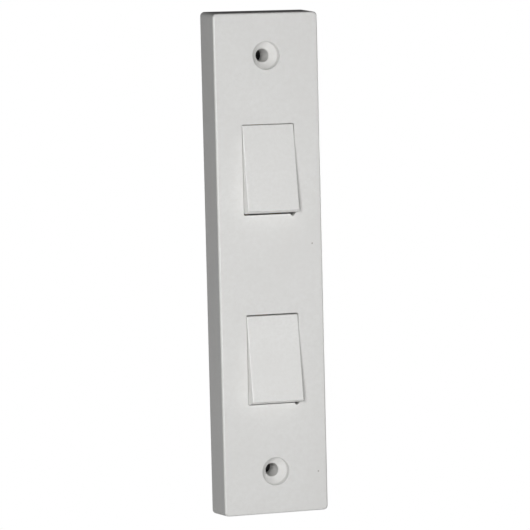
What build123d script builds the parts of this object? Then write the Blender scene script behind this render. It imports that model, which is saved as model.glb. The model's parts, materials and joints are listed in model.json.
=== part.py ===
from build123d import *
import os
from math import asin, cos, radians, sin, tan

# Architrave switch: two rocker switches, one above the other, on a narrow moulded plate.
# Lengths are in mm and angles in degrees. X points right, Y into the wall and Z up.
# The rim that lies on the wall is in the plane Y = 0, so the plate's front is at minus its depth.

# Plate
plate_width = 32.0
plate_height = 146.4
plate_depth = 11.5
side_draft = 1.0
end_draft = 3.0
plate_corner = 1.3
plate_edge_round = 0.6
plate_wall = 2.0
inner_corner = 0.5
plate_rib = 1.2
rib_depth = 4.5

# Fixing holes
fixing_centres = 120.6
fixing_radius = 2.0
sink_mouth_radius = 4.1
sink_seat_radius = 3.9
sink_wall_depth = 1.85
sink_angle = 90.0
sink_lip_round = 0.15
fixing_boss_radius = 5.2

# Rocker openings
aperture_spacing = 55.0
aperture_width = 15.9
aperture_height = 26.2
aperture_corner = 0.4
notch_radius = 0.65
notch_inset = 1.0

# Rocker, whose switches sit a little further apart than the openings
gang_spacing = 55.2
rocker_side_gap = 0.15
rocker_end_gap = 0.25
rocker_tilt = 9.0
pivot_depth = 1.3
pivot_radius = 0.75
pivot_play = 0.05
pivot_length = 1.2
rocker_face = 1.5
rocker_wall = 1.2
rocker_skirt = 2.5
rocker_edge_round = 0.3
rocker_rib = 0.9
rocker_rib_end = 0.6
boss_radius = 2.4
boss_reach = 7.0

# Plunger and its spring
plunger_radius = 1.5
plunger_play = 0.05
plunger_tip = 1.0
plunger_taper = 1.2
plunger_guide = 4.5
pip_radius = 0.7
pip_length = 1.5
mid_clearance = 0.1
spring_wire = 0.4
spring_turns = 3.0

# See-saw blade
blade_back = 13.0
blade_tilt = 7.0
blade_thickness = 0.8
blade_width = 5.0
blade_overhang = 0.85
blade_corner = 1.25
blade_end_gap = 1.15
ear_radius = 0.6
ear_play = 0.05
contact_reach = 7.6
contact_gap = 0.08
contact_radius = 1.4
contact_height = 0.7
contact_bevel = 0.2
shank_radius = 0.8
rear_head_radius = 1.1
rear_head_height = 0.25

# Strips
strip_thickness = 0.8
lug_thickness = 1.2
lug_gap = 0.3
lug_half = 1.8
lug_above_axis = 0.7
tab_width = 3.6
strip_width = 1.8
strip_margin = 0.4

# Terminals
terminal_width = 6.0
terminal_length = 6.0
terminal_height = 7.0
terminal_chamfer = 0.4
terminal_spacing = 10.0
wire_radius = 1.6
wire_depth = 4.0
thread_play = 0.05
screw_radius = 1.2
screw_head_radius = 1.8
screw_head_height = 1.4
screw_back_off = 0.2
screw_tip_gap = 0.2
slot_width = 0.5
slot_depth = 0.6

# Housing
housing_wall = 2.4
housing_end = 1.4
housing_floor = 2.0
housing_round = 1.0
housing_edge = 0.5
floor_depth = 5.5
chamber_half = 7.0
pocket_play = 0.2
window_gap = 0.8
sweep_clearance = 0.5
driver_clearance = 0.25
ear_width = 6.0
ear_thickness = 1.8
ear_centre = 2.6
mount_boss_height = 4.0
mount_boss_radius = 2.3
mount_screw_radius = 1.1
mount_screw_bite = 1.0
mount_head_radius = 2.1
mount_head_height = 1.4

# How far a cut runs past the face that it opens, and a rib or post into the wall that carries it
past = 1.0
root = 0.2

# Places worked out from the sizes above
front = -plate_depth
front_wall = pivot_depth + pivot_radius + pivot_play
inner_face = front + front_wall
pivot_y = front + pivot_depth
rocker_width = aperture_width - 2 * rocker_side_gap
rocker_arc = aperture_height / 2 - rocker_end_gap
rocker_rise = rocker_arc * sin(radians(rocker_tilt) + asin(pivot_depth / rocker_arc))
blade_y = pivot_y + blade_back
floor_y = blade_y + floor_depth
rear_y = floor_y + housing_floor
tip_centre = blade_back - blade_thickness / 2 - plunger_tip - mid_clearance
spring_seat = rocker_face - rocker_rise
plunger_foot = boss_reach - plunger_guide
lug_inner = blade_width / 2 + lug_gap
lug_outer = lug_inner + lug_thickness
strip_front = blade_thickness / 2 + 2 * contact_height + contact_gap
blade_half = contact_reach + contact_radius + blade_overhang
chamber_end = blade_half + blade_end_gap
terminal_end = chamber_end + terminal_length
housing_half_height = terminal_end + pocket_play + housing_end
housing_half_width = chamber_half + pocket_play + terminal_spacing / 2 - wire_depth + housing_wall
wire_y = floor_y - wire_depth
ear_z = housing_half_height + ear_centre
ear_y = inner_face + mount_boss_height
gang_heights = {"upper": gang_spacing / 2, "lower": -gang_spacing / 2}
aperture_heights = {"upper": aperture_spacing / 2, "lower": -aperture_spacing / 2}
fixing_heights = (fixing_centres / 2, -fixing_centres / 2)


def block(x, y, z):
    """Box between a low and a high side along each axis."""
    size = Box(x[1] - x[0], y[1] - y[0], z[1] - z[0])
    return Pos((x[0] + x[1]) / 2, (y[0] + y[1]) / 2, (z[0] + z[1]) / 2) * size


def rod_x(radius, x, y=0, z=0):
    """Round rod along X."""
    return Pos((x[0] + x[1]) / 2, y, z) * Rot(0, 90, 0) * Cylinder(radius, x[1] - x[0])


def rod_y(radius, y, x=0, z=0):
    """Round rod along Y."""
    return Pos(x, (y[0] + y[1]) / 2, z) * Rot(90, 0, 0) * Cylinder(radius, y[1] - y[0])


def rod_z(radius, z, x=0, y=0):
    """Round rod along Z."""
    return Pos(x, y, (z[0] + z[1]) / 2) * Cylinder(radius, z[1] - z[0])


def both(half):
    """Low and high side of something centred on zero."""
    return (-half, half)


def tilted(shape, side):
    """Piece drawn beside the level blade, swung to where the blade's end on that side closes."""
    return Pos(0, blade_y, 0) * Rot(-side * blade_tilt, 0, 0) * shape


def plate_tray():
    """Hollow tray, open towards the wall, with more draft at its ends than at its sides."""
    front_width = plate_width - 2 * plate_depth * tan(radians(side_draft))
    front_height = plate_height - 2 * plate_depth * tan(radians(end_draft))
    rim = Plane.XZ * RectangleRounded(plate_width, plate_height, plate_corner)
    face = Plane.XZ.offset(plate_depth) * RectangleRounded(front_width, front_height, plate_corner)
    tray = loft([rim, face], ruled=True)
    tray = fillet(tray.edges().group_by(Axis.Y)[0], plate_edge_round)
    inside = RectangleRounded(plate_width - 2 * plate_wall, plate_height - 2 * plate_wall, inner_corner)
    return tray - extrude(Plane.XZ * inside, amount=plate_depth - front_wall)


def fixing_column(z):
    """Column that takes a fixing screw's pull straight to the wall."""
    return rod_y(fixing_boss_radius, (front + plate_edge_round, 0), 0, z)


def countersink(z):
    """Steep mouth, conical seat of a fixing screw's head, and the hole behind it."""
    seat_depth = (sink_seat_radius - fixing_radius) / tan(radians(sink_angle / 2))
    mouth = Cone(sink_seat_radius, sink_mouth_radius, sink_wall_depth)
    seat = Cone(fixing_radius, sink_seat_radius, seat_depth)
    sink = Pos(0, front + sink_wall_depth / 2, z) * Rot(90, 0, 0) * mouth
    sink += Pos(0, front + sink_wall_depth + seat_depth / 2, z) * Rot(90, 0, 0) * seat
    return sink + rod_y(fixing_radius, (front, past), 0, z)


def plate_ribs():
    """Cross ribs beside the columns and between the two rocker openings."""
    depth = (inner_face - root, inner_face + rib_depth)
    across = both(plate_width / 2 - plate_wall / 2)
    ribs = [block(across, depth, (z - plate_rib / 2, z + plate_rib / 2)) for z in (0, *fixing_heights)]
    end = plate_height / 2 - plate_wall / 2
    for side in (-1, 1):
        span = sorted((side * fixing_centres / 2, side * end))
        ribs.append(block(both(plate_rib / 2), depth, span))
    return ribs


def rocker_opening(z, pivot_z):
    """Opening for one rocker, with its release notch and the slots for the rocker's pivots."""
    hole = RectangleRounded(aperture_width, aperture_height, aperture_corner)
    cut = Pos(0, 0, z) * extrude(Plane.XZ * hole, amount=plate_depth + past)
    low = z - aperture_height / 2
    cut += rod_y(notch_radius, (front - past, inner_face + past), aperture_width / 2 - notch_inset, low)
    slot = both(aperture_width / 2 + pivot_length)
    radius = pivot_radius + pivot_play
    cut += rod_x(radius, slot, pivot_y, pivot_z)
    return cut + block(slot, (pivot_y, inner_face + past), (pivot_z - radius, pivot_z + radius))


def mount_bosses(z):
    """Posts that the housing's ears are screwed to."""
    return [rod_y(mount_boss_radius, (inner_face - root, ear_y), 0, z + s * ear_z) for s in (-1, 1)]


def mount_pilots(z):
    """Screw holes in those posts."""
    depth = (inner_face - mount_screw_bite, ear_y + past)
    return [rod_y(mount_screw_radius, depth, 0, z + s * ear_z) for s in (-1, 1)]


def front_plate():
    plate = plate_tray()
    for z in fixing_heights:
        plate += fixing_column(z)
    for rib in plate_ribs():
        plate += rib
    for gang, z in gang_heights.items():
        for post in mount_bosses(z):
            plate += post
        plate -= rocker_opening(aperture_heights[gang], z)
        for pilot in mount_pilots(z):
            plate -= pilot
    for z in fixing_heights:
        plate -= countersink(z)
    mouths = plate.edges().filter_by(GeomType.CIRCLE).filter_by_position(Axis.Y, front - 0.01, front + 0.01)
    mouths = mouths.filter_by(lambda edge: abs(edge.radius - sink_mouth_radius) < 0.01)
    return fillet(mouths, sink_lip_round)


def rocker_shell():
    """Hollow rocker with a flat face and ends that are arcs about its axis."""
    width = both(rocker_width / 2)
    reach = both(rocker_arc)
    shell = rod_x(rocker_arc, width) & block(width, (-rocker_rise, rocker_skirt), reach)
    shell = fillet(shell.faces().sort_by(Axis.Y)[0].edges(), rocker_edge_round)
    inner_width = both(rocker_width / 2 - rocker_wall)
    inside = rod_x(rocker_arc - rocker_wall, inner_width)
    return shell - (inside & block(inner_width, (spring_seat, rocker_skirt + past), reach))


def rocker():
    """Rocker about its own axis, in the middle of its travel."""
    body = rocker_shell()
    ribs = (spring_seat - root, rocker_rib_end)
    body += block(both(rocker_width / 2 - rocker_wall / 2), ribs, both(rocker_rib / 2))
    body += block(both(rocker_rib / 2), ribs, both(rocker_arc - rocker_wall / 2))
    body += rod_y(boss_radius, (spring_seat - root, boss_reach))
    body -= rod_y(plunger_radius + plunger_play, (spring_seat, boss_reach + past))
    for side in (-1, 1):
        inner = side * (rocker_width / 2 - rocker_wall / 2)
        outer = side * (aperture_width / 2 + pivot_length - rocker_side_gap)
        body += rod_x(pivot_radius, sorted((inner, outer)))
    return body


def plunger():
    """Sprung plunger with a round tip and a pip that centres the spring."""
    neck = tip_centre - plunger_taper
    with BuildPart() as turned:
        with BuildSketch(Plane.XY):
            with BuildLine():
                Polyline((0, plunger_foot - pip_length), (pip_radius, plunger_foot - pip_length),
                         (pip_radius, plunger_foot), (plunger_radius, plunger_foot),
                         (plunger_radius, neck), (plunger_tip, tip_centre))
                CenterArc((0, tip_centre), plunger_tip, 0, 90)
                Line((0, tip_centre + plunger_tip), (0, plunger_foot - pip_length))
            make_face()
        revolve(axis=Axis.Y)
    return turned.part


def plunger_spring():
    """Coil spring between the rocker's boss and the plunger."""
    coil = plunger_radius - plunger_play - spring_wire / 2
    height = plunger_foot - spring_seat - spring_wire
    path = Helix(height / spring_turns, height, coil)
    wire = sweep(Plane(origin=path @ 0, z_dir=path % 0) * Circle(spring_wire / 2), path=path)
    return Pos(0, spring_seat + spring_wire / 2, 0) * Rot(-90, 0, 0) * wire


def contact_blade():
    """See-saw blade about its own axis, level, with a round ear on each side."""
    blade = block(both(blade_width / 2), both(blade_thickness / 2), both(blade_half))
    blade = fillet(blade.edges().filter_by(Axis.Y), blade_corner)
    for side in (-1, 1):
        ear = sorted((side * (blade_width / 2 - ear_play), side * (lug_outer + lug_gap)))
        blade += rod_x(ear_radius, ear)
        blade -= rod_y(shank_radius, both(past), 0, side * contact_reach)
    return blade


def moving_contacts():
    """Two rivets through the blade, beside the level blade."""
    rivets = []
    half = blade_thickness / 2
    for side in (-1, 1):
        z = side * contact_reach
        head = rod_y(contact_radius, (half, half + contact_height), 0, z)
        head = chamfer(head.edges().sort_by(Axis.Y)[-1], contact_bevel)
        tail = rod_y(rear_head_radius, (-half - rear_head_height, -half), 0, z)
        rivets.append(head + tail + rod_y(shank_radius, both(half), 0, z))
    return rivets


def fixed_contacts():
    """Rivets in the two line strips, each square to the blade that closes on it."""
    rivets = []
    face = strip_front - contact_height
    for side in (-1, 1):
        z = side * contact_reach
        head = rod_y(contact_radius, (face, strip_front), 0, z)
        head = chamfer(head.edges().sort_by(Axis.Y)[0], contact_bevel)
        shank = rod_y(shank_radius, (strip_front, strip_front + strip_thickness), 0, z)
        rivets.append(tilted(head + shank, side))
    return rivets


def line_strip(side, foot_x):
    """Sloping strip from a fixed contact to its terminal, with a foot on the housing's floor."""
    slope = radians(blade_tilt)
    depth = (strip_front, strip_front + strip_thickness)
    foot_front = blade_y + strip_front / cos(slope) + chamber_end * tan(slope)
    inner = contact_reach - contact_radius - strip_margin
    outer = chamber_end + past
    arm_start = contact_reach + contact_radius + strip_margin
    arm = block(both(tab_width / 2), depth, sorted((side * inner, side * outer)))
    end = sorted((foot_x - tab_width / 2, foot_x + tab_width / 2))
    span = (min(end[0], -tab_width / 2), max(end[1], tab_width / 2))
    arm += block(span, depth, sorted((side * arm_start, side * outer)))
    strip = tilted(arm, side)
    foot_z = sorted((side * (chamber_end - strip_thickness), side * chamber_end))
    strip += block((foot_x - strip_width / 2, foot_x + strip_width / 2), (foot_front, floor_y), foot_z)
    strip &= block(both(chamber_half), (inner_face, floor_y), both(chamber_end))
    return strip - tilted(rod_y(shank_radius, (0, floor_depth), 0, side * contact_reach), side)


def common_strip():
    """Strip from the see-saw's two notched lugs to the common terminal."""
    base = (floor_y - strip_thickness, floor_y)
    strip = block(both(lug_outer), base, both(lug_half))
    for side in (-1, 1):
        lug = sorted((side * lug_inner, side * lug_outer))
        strip += block(lug, (blade_y - lug_above_axis, floor_y), both(lug_half))
    bar = (-lug_outer - strip_width, -lug_outer + lug_thickness)
    strip += block(bar, base, (-chamber_end, lug_half))
    notch = ear_radius + ear_play
    strip -= rod_x(notch, both(chamber_half), blade_y, 0)
    return strip - block(both(chamber_half), (blade_y - lug_above_axis - past, blade_y), both(notch))


def terminal_places():
    """Each terminal's name with the side of the housing that it is at and its X."""
    half = terminal_spacing / 2
    return {"line1": (1, 0), "common": (-1, -half), "line2": (-1, half)}


def terminal_block(side, x):
    """Brass block with a hole for the wire and a threaded hole for its screw."""
    z = sorted((side * chamber_end, side * terminal_end))
    body = block((x - terminal_width / 2, x + terminal_width / 2), (floor_y - terminal_height, floor_y), z)
    body = chamfer(body.edges().filter_by(Axis.Z), terminal_chamfer)
    body -= rod_z(wire_radius, (z[0] - past, z[1] + past), x, wire_y)
    middle = (z[0] + z[1]) / 2
    return body - rod_y(screw_radius + thread_play, (wire_y, floor_y + past), x, middle)


def terminal_screw(side, x):
    """Slotted terminal screw, backed out so that the wire can go in."""
    z = side * (chamber_end + terminal_end) / 2
    tip = wire_y + wire_radius + screw_back_off
    head = (rear_y - screw_head_height, rear_y)
    screw = rod_y(screw_radius, (tip, head[0]), x, z) + rod_y(screw_head_radius, head, x, z)
    slot = block((x - screw_head_radius, x + screw_head_radius), (rear_y - slot_depth, rear_y),
                 (z - slot_width / 2, z + slot_width / 2))
    return screw - slot


def mount_screw(z):
    """Screw that holds one of the housing's ears."""
    top = ear_y + ear_thickness + mount_head_height
    screw = rod_y(mount_screw_radius, (inner_face - mount_screw_bite + screw_tip_gap, top), 0, z)
    screw += rod_y(mount_head_radius, (top - mount_head_height, top), 0, z)
    slot = block(both(mount_head_radius), (top - slot_depth, top), (z - slot_width / 2, z + slot_width / 2))
    return screw - slot


def housing_body():
    """Outer block of one switch housing with an ear at each end."""
    body = block(both(housing_half_width), (inner_face, rear_y), both(housing_half_height))
    body = fillet(body.edges().filter_by(Axis.Y), housing_round)
    body = chamfer(body.edges().group_by(Axis.Y)[-1], housing_edge)
    ear = (ear_y, ear_y + ear_thickness)
    for side in (-1, 1):
        reach = sorted((side * (housing_half_height - housing_end), side * ear_z))
        body += block(both(ear_width / 2), ear, reach)
        body += rod_y(ear_width / 2, ear, 0, side * ear_z)
    return body


def housing():
    """Housing of one switch: room for the rocker's swing, the see-saw and the terminals."""
    swing = rocker_skirt * cos(radians(rocker_tilt)) + rocker_arc * sin(radians(rocker_tilt))
    seat = pivot_y + swing + sweep_clearance
    sweep_height = rocker_arc + sweep_clearance
    inside = (inner_face - past, floor_y)
    body = housing_body()
    body -= block(both(rocker_width / 2 + sweep_clearance), (inner_face - past, seat), both(sweep_height))
    body -= block(both(chamber_half), inside, both(chamber_end))
    pocket = terminal_width / 2 + pocket_play
    for side, x in terminal_places().values():
        end = side * (terminal_end + pocket_play)
        window = sorted((end - side * root, side * (housing_half_height + past)))
        middle = side * (chamber_end + terminal_end) / 2
        body -= block((x - pocket, x + pocket), inside, sorted((side * (chamber_end - root), end)))
        opening = wire_radius + window_gap
        body -= block((x - opening, x + opening), (wire_y - opening, wire_y + opening), window)
        body -= rod_y(screw_head_radius + driver_clearance, (floor_y - past, rear_y + past), x, middle)
    for side in (-1, 1):
        body -= rod_y(mount_screw_radius, (ear_y - past, ear_y + ear_thickness + past), 0, side * ear_z)
    return body


def at_rest(shape):
    """Rocker piece turned to the kept state, with its lower half standing out."""
    return Pos(0, pivot_y, 0) * Rot(-rocker_tilt, 0, 0) * shape


def blade_at_rest(shape):
    """Blade piece turned to the kept state, closed on the lower contact."""
    return Pos(0, blade_y, 0) * Rot(blade_tilt, 0, 0) * shape


def gang_pieces():
    """Every piece of one switch about its own centre, by name."""
    pieces = {
        "rocker": at_rest(rocker()),
        "plunger": at_rest(plunger()),
        "plunger_spring": at_rest(plunger_spring()),
        "contact_blade": blade_at_rest(contact_blade()),
        "moving_contacts": Compound([blade_at_rest(piece) for piece in moving_contacts()]),
        "fixed_contacts": Compound(fixed_contacts()),
        "line1_strip": line_strip(1, 0),
        "line2_strip": line_strip(-1, terminal_spacing / 2),
        "common_strip": common_strip(),
        "housing": housing(),
    }
    for name, (side, x) in terminal_places().items():
        pieces[name + "_terminal"] = terminal_block(side, x)
    return pieces


def terminal_screws():
    """All terminal screws of both switches."""
    places = terminal_places().values()
    return [Pos(0, 0, z) * terminal_screw(side, x) for z in gang_heights.values() for side, x in places]


def mount_screws():
    """All screws that hold the housings to the plate."""
    return [mount_screw(z + side * ear_z) for z in gang_heights.values() for side in (-1, 1)]


def main():
    os.makedirs("parts", exist_ok=True)
    export_step(front_plate(), "parts/front_plate.step")
    export_step(Compound(mount_screws()), "parts/housing_screws.step")
    export_step(Compound(terminal_screws()), "parts/terminal_screws.step")
    pieces = gang_pieces()
    for gang, height in gang_heights.items():
        for name, piece in pieces.items():
            export_step(Pos(0, 0, height) * piece, f"parts/{gang}_{name}.step")


main()
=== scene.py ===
"""Architrave switch: its looks, light and camera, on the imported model."""

# %% [markdown]
# The object is a narrow white wall switch for a door frame. Two rockers sit one above the other between two
# countersunk fixing holes. The model comes ready from CAD as a fixed frame in metres: X to the right, Y into
# the wall and Z up. This lesson adds what CAD leaves out: the finish of each material, the wound springs and
# the cut threads, the light and the camera.

# %% Load the frame
import json
import bpy
import numpy as np
from mathutils import Matrix, Vector


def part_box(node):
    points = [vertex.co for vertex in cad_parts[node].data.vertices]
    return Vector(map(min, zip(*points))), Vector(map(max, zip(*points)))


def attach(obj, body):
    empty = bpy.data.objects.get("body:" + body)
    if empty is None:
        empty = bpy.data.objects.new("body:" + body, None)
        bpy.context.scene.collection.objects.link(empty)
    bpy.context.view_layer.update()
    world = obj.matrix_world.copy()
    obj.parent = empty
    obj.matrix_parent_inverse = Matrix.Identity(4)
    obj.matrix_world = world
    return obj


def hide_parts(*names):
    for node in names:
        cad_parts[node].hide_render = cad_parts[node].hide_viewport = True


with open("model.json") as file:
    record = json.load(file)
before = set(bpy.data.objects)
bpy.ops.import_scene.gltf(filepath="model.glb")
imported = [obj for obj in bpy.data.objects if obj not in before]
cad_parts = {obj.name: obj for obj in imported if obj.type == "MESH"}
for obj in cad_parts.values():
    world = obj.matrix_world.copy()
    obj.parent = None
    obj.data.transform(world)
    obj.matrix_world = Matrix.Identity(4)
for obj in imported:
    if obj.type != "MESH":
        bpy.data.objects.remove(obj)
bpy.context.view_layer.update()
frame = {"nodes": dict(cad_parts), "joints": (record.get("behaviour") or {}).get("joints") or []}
nodes = frame["nodes"]
gangs = ("upper", "lower")

# %% [markdown]
# The picture is square. Lines that are level on the plate stay almost level in it and the sides barely
# converge, so it was taken with a long lens from about a metre away. The camera's place was found by fitting
# the plate's edges and its two holes. A camera looks along its own -Z, so its matrix has the picture's right
# and up and the direction back from the subject as its three columns.

# %% Camera
picture_side = 530
subject = Vector((0, -0.005, 0))
view_azimuth = -18.41
view_elevation = 4.49
view_distance = 0.9605
camera_roll = -1.374
focal_pixels = 3301.6
centre_pixels = (-0.97, -2.11)


def camera_matrix():
    """Back is the direction from the subject to the camera; right and up are square to it, then rolled."""
    azimuth, elevation, roll = np.radians((view_azimuth, view_elevation, camera_roll))
    level = np.cos(elevation)
    back = Vector((np.sin(azimuth) * level, -np.cos(azimuth) * level, np.sin(elevation)))
    right = Vector((0, 0, 1)).cross(back).normalized()
    up = back.cross(right)
    turned_right = right * np.cos(roll) + up * np.sin(roll)
    turned_up = up * np.cos(roll) - right * np.sin(roll)
    turn = Matrix((turned_right, turned_up, back)).transposed().to_4x4()
    return Matrix.Translation(subject + back * view_distance) @ turn


lens = bpy.data.cameras.new("long_lens")
lens.sensor_width = 36
lens.lens = focal_pixels / picture_side * lens.sensor_width
lens.shift_x = -centre_pixels[0] / picture_side
lens.shift_y = centre_pixels[1] / picture_side
lens.clip_start = 0.05
camera = bpy.data.objects.new("camera", lens)
camera.matrix_world = camera_matrix()
bpy.context.scene.collection.objects.link(camera)
bpy.context.scene.camera = camera
print("camera at", tuple(round(v, 3) for v in camera.location), "lens", round(lens.lens, 1), "mm")

# %% [markdown]
# Every new shape below is a grid of points computed at once with numpy: one direction of the grid is u, the
# other is v. The first helper joins neighbouring points into four-sided faces. A direction that closes on
# itself, such as the way round a wire, gets one more row of faces from its last points to its first. A
# closed form also tells which way it faces: the thin pyramids from its middle to its faces add up to its
# volume, and if that comes out negative, the faces look inwards and are turned round. The second helper
# makes one object of many grids.

# %% Grids to a mesh


def grid(points, close_u=False, close_v=False, cap_first=False, cap_last=False):
    """Points and faces from an array [u, v, xyz]; a cap fills the first or last ring of a tube."""
    count_u, count_v = points.shape[:2]
    index = np.arange(count_u * count_v).reshape(count_u, count_v)
    u = np.arange(count_u if close_u else count_u - 1)
    v = np.arange(count_v if close_v else count_v - 1)
    next_u = (u + 1) % count_u
    next_v = (v + 1) % count_v
    sides = ((u, v), (next_u, v), (next_u, next_v), (u, next_v))
    quads = np.stack([index[np.ix_(rows, columns)] for rows, columns in sides], axis=-1).reshape(-1, 4)
    flat = points.reshape(-1, 3)
    faces = quads.tolist()
    if cap_first:
        faces.append(index[0].tolist())
    if cap_last:
        faces.append(index[-1][::-1].tolist())
    if cap_first and cap_last:
        first, second, third, fourth = (flat[quads[:, corner]] - flat.mean(axis=0) for corner in range(4))
        slant = np.cross(third - first, fourth - second)
        if np.einsum("ij,ij->", first + second + third + fourth, slant) < 0:
            faces = [face[::-1] for face in faces]
    return flat, faces


def build(name, grids, sharp_angle=180):
    """One object from many grids; edges that turn by more than the angle in degrees are shaded as edges."""
    all_points, all_faces, start = [], [], 0
    for points, faces in grids:
        all_points += points.tolist()
        all_faces += [[corner + start for corner in face] for face in faces]
        start += len(points)
    mesh = bpy.data.meshes.new(name)
    mesh.from_pydata(all_points, [], all_faces)
    mesh.polygons.foreach_set("use_smooth", np.ones(len(mesh.polygons), dtype=bool))
    mesh.set_sharp_from_angle(angle=np.radians(sharp_angle))
    mesh.update()
    piece = bpy.data.objects.new(name, mesh)
    bpy.context.scene.collection.objects.link(piece)
    return piece


# %% [markdown]
# The photograph's surroundings are plain white, with no shadow. A wide pale floor lies well below the
# switch. It shows the camera a clean white, and gives the switch only a soft glow from below, as white
# paper does. Seen from underneath it is clear, so that it hides nothing of the switch there.
# The grid needs just one face: its corners are plus and minus the half size.

# %% Floor and surroundings
floor_half = 8.0
floor_level = -0.10
floor_glow = 0.06
surroundings_glow = 0.015
paper_colour = (0.85, 0.85, 0.85, 1)
dull = 0.9


def pale_floor():
    """x runs with u and y with v, from minus to plus the half size, all at one height."""
    side = np.array((-floor_half, floor_half))
    x, y = np.meshgrid(side, side, indexing="ij")
    return build("floor", [grid(np.stack((x, y, np.full_like(x, floor_level)), axis=-1))])


def white_for_camera(tree, lit_shader, white_shader):
    """A camera ray sees plain white; every other ray gets the lit shader."""
    path = tree.nodes.new("ShaderNodeLightPath")
    white = tree.nodes.new(white_shader)
    white.inputs["Color"].default_value = (1, 1, 1, 1)
    pick = tree.nodes.new("ShaderNodeMixShader")
    tree.links.new(path.outputs["Is Camera Ray"], pick.inputs["Fac"])
    tree.links.new(lit_shader, pick.inputs[1])
    tree.links.new(white.outputs[0], pick.inputs[2])
    return pick.outputs[0]


def clear_from_behind(tree, shader):
    """A face seen from its back is clear; from its front it gets the shader."""
    clear = tree.nodes.new("ShaderNodeBsdfTransparent")
    side_seen = tree.nodes.new("ShaderNodeNewGeometry")
    pick = tree.nodes.new("ShaderNodeMixShader")
    tree.links.new(side_seen.outputs["Backfacing"], pick.inputs["Fac"])
    tree.links.new(shader, pick.inputs[1])
    tree.links.new(clear.outputs[0], pick.inputs[2])
    return pick.outputs[0]


floor = pale_floor()
paper = bpy.data.materials.new("pale_floor")
paper.use_nodes = True
tree = paper.node_tree
tree.nodes.clear()
paper_shader = tree.nodes.new("ShaderNodeBsdfPrincipled")
paper_shader.inputs["Base Color"].default_value = paper_colour
paper_shader.inputs["Roughness"].default_value = dull
paper_shader.inputs["Emission Color"].default_value = (1, 1, 1, 1)
paper_shader.inputs["Emission Strength"].default_value = floor_glow
output = tree.nodes.new("ShaderNodeOutputMaterial")
white_paper = white_for_camera(tree, paper_shader.outputs[0], "ShaderNodeEmission")
tree.links.new(clear_from_behind(tree, white_paper), output.inputs["Surface"])
floor.data.materials.append(paper)

world = bpy.data.worlds.new("surroundings")
bpy.context.scene.world = world
world.use_nodes = True
tree = world.node_tree
tree.nodes.clear()
glow = tree.nodes.new("ShaderNodeBackground")
glow.inputs["Color"].default_value = (1, 1, 1, 1)
glow.inputs["Strength"].default_value = surroundings_glow
output = tree.nodes.new("ShaderNodeOutputWorld")
tree.links.new(white_for_camera(tree, glow.outputs[0], "ShaderNodeBackground"), output.inputs["Surface"])

scene = bpy.context.scene
scene.view_settings.view_transform = "Standard"
scene.view_settings.look = "None"

# %% [markdown]
# The fixing holes go right through the plate, and at the far end of each hole a thin sliver of darkness
# shows: the shade that lies behind the plate. A small dark disc just behind the rim is painted shade for it,
# a near-black sheet where there is only shade. It belongs to the setting, not to the switch, and it is clear
# from behind, so that it hides nothing there. The disc is a grid in polar form: one direction is the angle,
# the other the radius.

# %% Painted shade behind the fixing holes
fixing_height = 0.0603
dark_radius = 0.0023
dark_place = 0.0004
# painted shade: near-black colour that stands for the shade behind the plate, seen through each hole
painted_shade_colour = (0.008, 0.008, 0.008, 1)
points_round_disc = 32


def painted_shade_disc(name, height):
    """Painted shade disc: x and z are the radius times the cosine and sine of the angle, at one small depth
    behind the rim.
    """
    angle = np.linspace(0, 2 * np.pi, points_round_disc, endpoint=False)
    radius = np.array((dark_radius / 2, dark_radius))
    r, a = np.meshgrid(radius, angle, indexing="ij")
    points = np.stack((r * np.cos(a), np.full_like(r, dark_place), height + r * np.sin(a)), axis=-1)
    return build(name, [grid(points, close_v=True, cap_first=True)])


dark = bpy.data.materials.new("painted_shade_behind_plate")
dark.use_nodes = True
tree = dark.node_tree
shade = tree.nodes["Principled BSDF"]
shade.inputs["Base Color"].default_value = painted_shade_colour
shade.inputs["Roughness"].default_value = dull
output = tree.nodes["Material Output"]
tree.links.new(clear_from_behind(tree, shade.outputs[0]), output.inputs["Surface"])
# one painted shade disc behind each fixing hole
for name, height in (("upper_painted_shade", fixing_height), ("lower_painted_shade", -fixing_height)):
    disc = painted_shade_disc(name, height)
    disc.data.materials.append(dark)
facing = tuple(round(v) for v in disc.data.polygons[0].normal)
print("dark discs", fixing_height, "above and below the middle, facing", facing)

# %% [markdown]
# The front is almost evenly lit, the left side has less than half of its light and the top little. The cones
# of the holes are brightest on their right and lower sides. So the main light is a soft lamp to the left of
# the camera and a little above it. The plate is brightest below the middle and darker at both ends, which a
# distant lamp can't do: a small weak one close to the switch does it. A weak one from the right brings out
# the left edges of the openings and rockers, and one behind the wall's plane shows the back in other views.

# %% Lights


def soft_light(name, azimuth, elevation, distance, size, power):
    """Square area light that looks at the subject from a direction given in degrees, as the camera's is."""
    azimuth, elevation = np.radians((azimuth, elevation))
    level = np.cos(elevation)
    back = Vector((np.sin(azimuth) * level, -np.cos(azimuth) * level, np.sin(elevation)))
    lamp = bpy.data.lights.new(name, "AREA")
    lamp.shape = "SQUARE"
    lamp.size = size
    lamp.energy = power
    light = bpy.data.objects.new(name, lamp)
    turn = back.to_track_quat("Z", "Y").to_matrix().to_4x4()
    light.matrix_world = Matrix.Translation(subject + back * distance) @ turn
    bpy.context.scene.collection.objects.link(light)
    return light


lights = (
    soft_light("main_light", -28, 11, 0.9, 0.16, 3.4),
    soft_light("near_light", -12, -6, 0.3, 0.09, 0.157),
    soft_light("right_light", 30, 1, 0.5, 0.2, 0.141),
    soft_light("back_light", 155, -4, 0.8, 0.3, 3.7),
)
print("lights", {light.name: round(light.data.energy, 3) for light in lights}, "W")

# %% [markdown]
# No moulded or turned surface is perfectly even. Three small node groups are shared by all the materials, so
# they are built once. The first is grain: a fine noise for the tool's texture and a broad one for the slow
# change of tone across a surface. The second is specks: rare small dots of dust, from cells of a Voronoi
# pattern whose random value is above a limit. The third is turning marks: rings round an axis.

# %% Shared node groups


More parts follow.
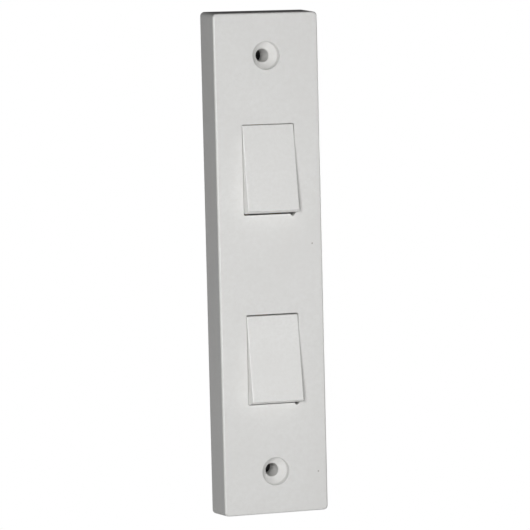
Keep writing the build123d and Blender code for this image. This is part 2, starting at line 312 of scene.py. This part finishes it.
def new_group(name, inputs, outputs):
    """Empty shader node group with the named float inputs, a Vector input and the named float outputs."""
    group = bpy.data.node_groups.new(name, "ShaderNodeTree")
    group.interface.new_socket("Vector", in_out="INPUT", socket_type="NodeSocketVector")
    for label, value in inputs.items():
        socket = group.interface.new_socket(label, in_out="INPUT", socket_type="NodeSocketFloat")
        socket.default_value = value
    for label in outputs:
        group.interface.new_socket(label, in_out="OUTPUT", socket_type="NodeSocketFloat")
    return group, group.nodes.new("NodeGroupInput"), group.nodes.new("NodeGroupOutput")


def math(tree, operation, first, second, third=None):
    """Math node on sockets or plain numbers."""
    node = tree.nodes.new("ShaderNodeMath")
    node.operation = operation
    for socket, value in zip(node.inputs, (first, second, third)):
        if isinstance(value, (int, float)):
            socket.default_value = value
        elif value is not None:
            tree.links.new(value, socket)
    return node.outputs[0]


def noise(tree, vector, scale, detail=2.0, roughness=0.5):
    """Noise texture's value on a vector socket; scale may be a number or a socket."""
    node = tree.nodes.new("ShaderNodeTexNoise")
    node.inputs["Detail"].default_value = detail
    node.inputs["Roughness"].default_value = roughness
    tree.links.new(vector, node.inputs["Vector"])
    if isinstance(scale, (int, float)):
        node.inputs["Scale"].default_value = scale
    else:
        tree.links.new(scale, node.inputs["Scale"])
    return node.outputs[0]


def grain_group():
    """Fine noise, broad noise and their weighted sum as a height."""
    values = {"Fine": 2500.0, "Broad": 60.0, "Mix": 0.25}
    group, inside, outside = new_group("grain", values, ("Fine", "Broad", "Height"))
    fine = noise(group, inside.outputs["Vector"], inside.outputs["Fine"], 3.0, 0.6)
    broad = noise(group, inside.outputs["Vector"], inside.outputs["Broad"], 2.0)
    height = math(group, "MULTIPLY_ADD", broad, inside.outputs["Mix"], fine)
    group.links.new(fine, outside.inputs["Fine"])
    group.links.new(broad, outside.inputs["Broad"])
    group.links.new(height, outside.inputs["Height"])
    return group


def specks_group():
    """A cell holds a speck, a small ball at its centre, if its random value is above one minus Share."""
    group, inside, outside = new_group("specks", {"Scale": 120.0, "Share": 0.04, "Size": 0.12}, ("Mask",))
    cells = group.nodes.new("ShaderNodeTexVoronoi")
    group.links.new(inside.outputs["Vector"], cells.inputs["Vector"])
    group.links.new(inside.outputs["Scale"], cells.inputs["Scale"])
    parts = group.nodes.new("ShaderNodeSeparateColor")
    group.links.new(cells.outputs["Color"], parts.inputs[0])
    limit = math(group, "SUBTRACT", 1.0, inside.outputs["Share"])
    chosen = math(group, "GREATER_THAN", parts.outputs[0], limit)
    near = math(group, "LESS_THAN", cells.outputs["Distance"], inside.outputs["Size"])
    group.links.new(math(group, "MULTIPLY", chosen, near), outside.inputs["Mask"])
    return group


def streak_group():
    """Noise on coordinates squeezed along one axis, which draws it out into long streaks."""
    group, inside, outside = new_group("streaks", {"Scale": 900.0, "Squeeze": 0.06}, ("Value",))
    parts = group.nodes.new("ShaderNodeSeparateXYZ")
    group.links.new(inside.outputs["Vector"], parts.inputs[0])
    along = math(group, "MULTIPLY", parts.outputs[2], inside.outputs["Squeeze"])
    joined = group.nodes.new("ShaderNodeCombineXYZ")
    group.links.new(parts.outputs[0], joined.inputs[0])
    group.links.new(parts.outputs[1], joined.inputs[1])
    group.links.new(along, joined.inputs[2])
    streaky = noise(group, joined.outputs[0], inside.outputs["Scale"], 4.0, 0.65)
    group.links.new(streaky, outside.inputs["Value"])
    return group


grain = grain_group()
specks = specks_group()
streaks = streak_group()
print("shared groups", grain.name, specks.name, streaks.name)

# %% [markdown]
# A material starts as a Principled shader whose steady values are set on its own sockets. The parts that
# change over the surface are then linked to colour, roughness and normal. These helpers keep each finish
# below down to the choices that make it what it is.

# %% Material helpers


def start_material(name, metallic=0.0, ior=1.5):
    """Material with a Principled shader and object coordinates; returns both and the tree."""
    material = bpy.data.materials.new(name)
    material.use_nodes = True
    tree = material.node_tree
    shader = tree.nodes["Principled BSDF"]
    shader.inputs["Metallic"].default_value = metallic
    shader.inputs["IOR"].default_value = ior
    place = tree.nodes.new("ShaderNodeTexCoord").outputs["Object"]
    return material, tree, shader, place


def use_group(tree, group, place, **values):
    """Node group placed in a material with its own values."""
    node = tree.nodes.new("ShaderNodeGroup")
    node.node_tree = group
    tree.links.new(place, node.inputs["Vector"])
    for label, value in values.items():
        node.inputs[label].default_value = value
    return node.outputs


def blend_colour(tree, amount, low, high):
    """Colour between two others, given as sockets or as red, green and blue."""
    mix = tree.nodes.new("ShaderNodeMix")
    mix.data_type = "RGBA"
    tree.links.new(amount, mix.inputs["Factor"])
    for socket, value in ((mix.inputs[6], low), (mix.inputs[7], high)):
        if isinstance(value, tuple):
            socket.default_value = (*value, 1)
        else:
            tree.links.new(value, socket)
    return mix.outputs[2]


def spread(tree, value, low, high, start=0.3, end=0.7):
    """Maps the middle of a noise's range to low and high."""
    node = tree.nodes.new("ShaderNodeMapRange")
    tree.links.new(value, node.inputs["Value"])
    for label, number in (("From Min", start), ("From Max", end), ("To Min", low), ("To Max", high)):
        node.inputs[label].default_value = number
    return node.outputs[0]


def raise_surface(tree, shader, height, depth):
    """Bump of the given depth in metres."""
    bump = tree.nodes.new("ShaderNodeBump")
    bump.inputs["Strength"].default_value = 1.0
    bump.inputs["Distance"].default_value = depth
    tree.links.new(height, bump.inputs["Height"])
    tree.links.new(bump.outputs[0], shader.inputs["Normal"])


# %% [markdown]
# The plate and rockers are a thermosetting moulding, hard and white with a satin sheen. Close up it has a
# fine grain from the mould, a slow drift of tone of a few parts in a hundred, and a dark speck here and
# there. The rockers are a little whiter and are polished a little more, as fingers and the maker both do.

# %% White moulding


def white_moulding(name, shade, roughness, fine_scale):
    """Near-white with a fine grain, broad drift of tone, rare specks and an uneven sheen."""
    material, tree, shader, place = start_material(name)
    texture = use_group(tree, grain, place, Fine=fine_scale, Broad=55.0, Mix=0.5)
    dots = use_group(tree, specks, place, Scale=150.0, Share=0.2, Size=0.04)
    light_tone = (shade, shade, shade * 0.985)
    dark_tone = (shade * 0.93, shade * 0.925, shade * 0.905)
    drift = blend_colour(tree, spread(tree, texture["Broad"], 0, 0.8, 0.2, 0.8), light_tone, dark_tone)
    mottle = blend_colour(tree, spread(tree, texture["Fine"], 0, 0.9), drift, dark_tone)
    dusty = blend_colour(tree, dots["Mask"], mottle, (shade * 0.62, shade * 0.60, shade * 0.57))
    tree.links.new(dusty, shader.inputs["Base Color"])
    sheen = spread(tree, texture["Broad"], roughness * 0.92, roughness * 1.08, 0.2, 0.8)
    tree.links.new(sheen, shader.inputs["Roughness"])
    raise_surface(tree, shader, texture["Height"], 0.000006)
    return material


plate_white = white_moulding("plate_white", 0.90, 0.30, 1000.0)
rocker_white = white_moulding("rocker_white", 0.98, 0.24, 1150.0)

# %% [markdown]
# The housings behind the plate are the same kind of moulding in a light grey, left duller by the mould. The
# plungers are nylon in its natural cream, cloudy and a little waxy. Both use the same groups as the white,
# with other scales, so that each has a grain of its own.

# %% Grey moulding and nylon


def grey_moulding():
    """Light grey with a coarser spark-eroded grain."""
    material, tree, shader, place = start_material("grey_moulding")
    texture = use_group(tree, grain, place, Fine=1500.0, Broad=90.0, Mix=0.4)
    dots = use_group(tree, specks, place, Scale=220.0, Share=0.02, Size=0.06)
    drift = blend_colour(tree, spread(tree, texture["Broad"], 0, 1), (0.62, 0.62, 0.60), (0.57, 0.57, 0.55))
    mottle = blend_colour(tree, spread(tree, texture["Fine"], 0, 0.5), drift, (0.53, 0.53, 0.51))
    dusty = blend_colour(tree, dots["Mask"], mottle, (0.30, 0.29, 0.28))
    tree.links.new(dusty, shader.inputs["Base Color"])
    tree.links.new(spread(tree, texture["Fine"], 0.50, 0.66), shader.inputs["Roughness"])
    raise_surface(tree, shader, texture["Height"], 0.000015)
    return material


def natural_nylon():
    """Cream with cloudy patches and a waxy sheen."""
    material, tree, shader, place = start_material("natural_nylon", ior=1.53)
    texture = use_group(tree, grain, place, Fine=1800.0, Broad=400.0, Mix=0.6)
    clouds = blend_colour(tree, spread(tree, texture["Broad"], 0, 1), (0.78, 0.73, 0.60), (0.70, 0.64, 0.50))
    tree.links.new(clouds, shader.inputs["Base Color"])
    tree.links.new(spread(tree, texture["Fine"], 0.34, 0.46), shader.inputs["Roughness"])
    raise_surface(tree, shader, texture["Height"], 0.000005)
    return material


housing_grey = grey_moulding()
nylon = natural_nylon()

# %% [markdown]
# Inside, the current runs through stamped brass, silver contact rivets and brass terminal blocks; the
# springs and screws are steel. Metal gets its colour from Metallic at one, so what varies is the roughness:
# long streaks where strip was rolled or bar was drawn, and cloudy darker patches where it has tarnished.

# %% Metals


def metal(name, bright, dull, rough, streak_scale, squeeze, depth):
    """Metal between a bright and a dull colour by cloudy patches, with drawn-out streaks in its sheen."""
    material, tree, shader, place = start_material(name, metallic=1.0)
    texture = use_group(tree, grain, place, Fine=3000.0, Broad=350.0, Mix=0.3)
    lines = use_group(tree, streaks, place, Scale=streak_scale, Squeeze=squeeze)
    patches = blend_colour(tree, spread(tree, texture["Broad"], 0, 1, 0.35, 0.65), bright, dull)
    tree.links.new(patches, shader.inputs["Base Color"])
    tree.links.new(spread(tree, lines["Value"], rough * 0.7, rough * 1.3), shader.inputs["Roughness"])
    raise_surface(tree, shader, lines["Value"], depth)
    return material


strip_brass = metal("strip_brass", (0.80, 0.60, 0.28), (0.62, 0.43, 0.18), 0.28, 1400.0, 0.05, 0.000006)
block_brass = metal("block_brass", (0.76, 0.58, 0.30), (0.60, 0.42, 0.20), 0.34, 900.0, 0.08, 0.000010)
contact_silver = metal("contact_silver", (0.88, 0.87, 0.84), (0.66, 0.64, 0.60), 0.24, 1600.0, 1.0, 0.000004)
spring_steel = metal("spring_steel", (0.62, 0.62, 0.63), (0.42, 0.42, 0.44), 0.26, 2000.0, 1.0, 0.000003)
zinc_steel = metal("zinc_steel", (0.72, 0.74, 0.77), (0.56, 0.57, 0.56), 0.30, 1200.0, 1.0, 0.000006)

# %% [markdown]
# A CAD node keeps its mesh. Its finish changes by putting a new material in its object's material slots.
# The table pairs the end of each node's name with its finish.

# %% Dress the CAD nodes
finishes = {
    "front_plate": plate_white,
    "rocker": rocker_white,
    "housing": housing_grey,
    "plunger": nylon,
    "plunger_spring": spring_steel,
    "contact_blade": strip_brass,
    "line1_strip": strip_brass,
    "line2_strip": strip_brass,
    "common_strip": strip_brass,
    "moving_contacts": contact_silver,
    "fixed_contacts": contact_silver,
    "terminal": block_brass,
    "screws": zinc_steel,
}


def dress(piece, material):
    """Puts one material in every slot of an object."""
    if not piece.material_slots:
        piece.data.materials.append(material)
    for slot in piece.material_slots:
        slot.link = "OBJECT"
        slot.material = material


for name, node in nodes.items():
    ending = max((end for end in finishes if name.endswith(end)), key=len)
    dress(node, finishes[ending])
print("dressed", len(nodes), "nodes")

# %% [markdown]
# In each rocker a coil spring presses a nylon plunger against the see-saw contact. CAD has it as three even
# turns. The real one is wound with its last turns closed up, so that it stands square on its seats. It is a
# tube carried along a helix whose rise in each turn changes: one wire's thickness at the ends, more between.
# One direction of the grid runs along the wire and the other round it. Its place comes from the two joints
# that meet there: the rocker's pivot, and the line along which the plunger slides.

# %% Plunger springs
joints = {joint["name"]: joint for joint in frame["joints"]}
wire_radius = 0.0002
coil_radius = 0.00125
coil_start = -0.001585
coil_end = 0.0023
coil_turns = 6.0
closed_turns = 1.0
closed_rise = 0.00041
opening_turns = 0.5
points_per_turn = 40
points_round_wire = 14


def wound_wire(pivot, along):
    """Centre line: coil radius times cosine and sine of the turned angle, and the summed rise along.

    The rise in a turn is the closed rise plus a share of what is left, from none in the closed turns to all
    in the open ones. Round the wire, a point is the centre plus the wire's radius times the cosine of the
    second angle outwards and its sine square to that and to the wire.
    """
    turn = np.linspace(0, coil_turns, int(coil_turns * points_per_turn) + 1)
    from_end = np.minimum(turn, coil_turns - turn)
    share = np.clip((from_end - closed_turns) / opening_turns + 0.5, 0, 1)
    summed = np.concatenate(([0], np.cumsum((share[1:] + share[:-1]) / 2 * np.diff(turn))))
    left_over = coil_end - coil_start - closed_rise * coil_turns
    rise = coil_start + closed_rise * turn + left_over * summed / summed[-1]
    angle = 2 * np.pi * turn
    outward = np.stack((np.cos(angle), np.zeros_like(angle), np.sin(angle)), axis=-1)
    centre = outward * coil_radius + rise[:, None] * np.array((0, 1, 0))
    forward = np.gradient(centre, axis=0)
    forward /= np.linalg.norm(forward, axis=1, keepdims=True)
    sideways = np.cross(forward, outward)
    around = np.linspace(0, 2 * np.pi, points_round_wire, endpoint=False)[None, :, None]
    ring = np.cos(around) * outward[:, None] + np.sin(around) * sideways[:, None]
    local = centre[:, None] + wire_radius * ring
    across = np.array((1.0, 0.0, 0.0))
    axes = np.stack((across, along, np.cross(across, along)))
    return local @ axes + pivot


for gang in gangs:
    pivot = np.array(joints[f"{gang}_rocker_tilt"]["pos_m"])
    along = np.array(joints[f"{gang}_plunger_slide"]["axis"])
    wire = grid(wound_wire(pivot, along), close_v=True, cap_first=True, cap_last=True)
    spring = build(f"{gang}_wound_spring", [wire], sharp_angle=60)
    spring.data.materials.append(spring_steel)
    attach(spring, f"{gang}_rocker")
    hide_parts(f"{gang}_plunger_spring")
    span = wire[0].max(axis=0) - wire[0].min(axis=0)
    cad_span = np.subtract(*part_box(f"{gang}_plunger_spring")[::-1])
    print(spring.name, "spans", np.round(span * 1000, 2), "mm; CAD", np.round(cad_span * 1000, 2))

# %% [markdown]
# CAD has the screws as plain cylinders with a slot. A real one has a thread, and no two slots stop at the
# same angle. The shank is a surface of angle and height: its radius falls from crest to core in a V that
# winds round once in each pitch. The head is cut into sections side by side across its slot. Each section
# is a closed outline, so the slot is only a group of sections with a lower top.

# %% Threaded screws
head_round = 0.00022
slot_slope = 0.00002
points_round_shank = 48
rows_per_pitch = 10
crest_steepness = 1.4
crest_flat = 0.2
tip_share = 0.75
sections_beside_slot = 12
points_over_section = 25
outermost_section = 0.995
first_angle = 20
next_angle = 137.5


def threaded_shank(crest, core, pitch, tip, head):
    """Radius is the core's plus the thread's height times a V of height less angle.

    The V fills up in the last pitch below the head, and the radius shrinks in a cone at the tip.
    """
    height = np.linspace(tip, head, int((head - tip) / pitch * rows_per_pitch) + 1)
    angle = np.linspace(0, 2 * np.pi, points_round_shank, endpoint=False)
    y, a = np.meshgrid(height, angle, indexing="ij")
    ridge = 1 - np.abs(2 * ((y / pitch - a / (2 * np.pi)) % 1) - 1)
    ridge = np.maximum(np.clip(ridge * crest_steepness - crest_flat, 0, 1), 1 - (head - y) / pitch)
    r = np.minimum(core + (crest - core) * ridge, core * tip_share + (y - tip))
    points = np.stack((r * np.cos(a), y, r * np.sin(a)), axis=-1)
    return grid(points, close_v=True, cap_first=True, cap_last=True)


def slotted_head(radius, under, top, slot_width, slot_depth):
    """A section is a chord whose top edge is the head's height, less a quarter round at the rim."""
    half = slot_width / 2
    steps = np.linspace(np.arcsin((half + slot_slope) / radius), np.pi / 2, sections_beside_slot)
    side = radius * outermost_section * np.sin(steps)
    z = np.concatenate((-side[::-1], (-half + slot_slope, 0, half - slot_slope), side))
    chord = np.sqrt(radius**2 - z**2)
    x = chord[:, None] * np.sin(np.linspace(-np.pi / 2, np.pi / 2, points_over_section))
    rim = np.maximum(np.sqrt(x**2 + z[:, None] ** 2) - radius + head_round, 0)
    y = top - head_round + np.sqrt(np.maximum(head_round**2 - rim**2, 0))
    y = np.where(np.abs(z)[:, None] < half, np.minimum(y, top - slot_depth), y)
    bottom = np.stack((chord, 0 * chord, -chord), axis=-1)
    outline_x = np.concatenate((x, bottom), axis=1)
    outline_y = np.concatenate((y, np.full_like(bottom, under)), axis=1)
    outline_z = np.broadcast_to(z[:, None], outline_x.shape)
    points = np.stack((outline_x, outline_y, outline_z), axis=-1)
    return grid(points, close_v=True, cap_first=True, cap_last=True)


def set_screws(name, node, places, shank, head):
    """Copies of one screw about Y, each turned by its own angle and moved to its place."""
    parts = []
    for number, (x, z) in enumerate(places):
        turned = np.radians(first_angle + next_angle * number)
        across, along = np.cos(turned), np.sin(turned)
        spin = np.array(((across, 0, along), (0, 1, 0), (-along, 0, across)))
        parts += [(points @ spin + (x, 0, z), faces) for points, faces in (shank, head)]
    screws = build(name, parts, sharp_angle=35)
    screws.data.materials.append(zinc_steel)
    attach(screws, "switch_base")
    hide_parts(node)
    print(name, len(places), "screws,", len(screws.data.polygons), "faces, CAD", node)


gang_heights = [joints[f"{gang}_rocker_tilt"]["pos_m"][2] for gang in gangs]
terminal_ends = ((0, 0.014), (-0.005, -0.014), (0.005, -0.014))
ear_ends = ((0, 0.0212), (0, -0.0212))
set_screws(
    "threaded_terminal_screws",
    "terminal_screws",
    [(x, z + end) for z in gang_heights for x, end in terminal_ends],
    threaded_shank(crest=0.0012, core=0.00093, pitch=0.00045, tip=0.0061, head=0.009),
    slotted_head(radius=0.0018, under=0.0089, top=0.0103, slot_width=0.0005, slot_depth=0.0006),
)
set_screws(
    "threaded_housing_screws",
    "housing_screws",
    [(x, z + end) for z in gang_heights for x, end in ear_ends],
    threaded_shank(crest=0.0011, core=0.00078, pitch=0.0008, tip=-0.0102, head=-0.0035),
    slotted_head(radius=0.0021, under=-0.0036, top=-0.0022, slot_width=0.0005, slot_depth=0.0006),
)
